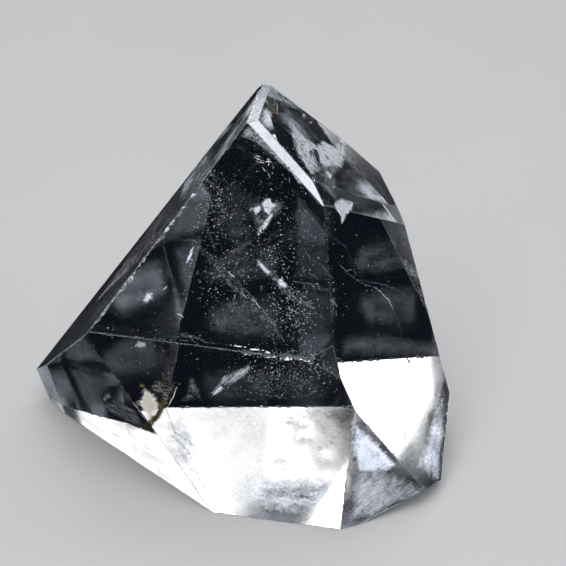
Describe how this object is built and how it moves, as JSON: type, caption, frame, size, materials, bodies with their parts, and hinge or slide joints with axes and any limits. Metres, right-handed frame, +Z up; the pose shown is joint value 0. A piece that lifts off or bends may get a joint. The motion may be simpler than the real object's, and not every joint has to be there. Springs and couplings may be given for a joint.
{
  "type": "quartz crystal",
  "caption": "Clear quartz point leaning back over a flat cut base, with broad slanting faces, chipped ridges, and cracks, specks and a brown stain inside the stone.",
  "frame": {"origin": "on the table, at the middle of the crystal's width and depth", "axes": "+Z up, -Y towards the broad sloping front, +Y towards the steep back that the tip leans over, +X towards the big right slope"},
  "size_m": [0.0508, 0.0336, 0.0406],
  "materials": {
    "crystal": "clear stone with bright natural faces, rough chipped ridges and a ground base"
  },
  "bodies": {
    "root": {"crystal": "crystal"}
  },
  "joints": []
}
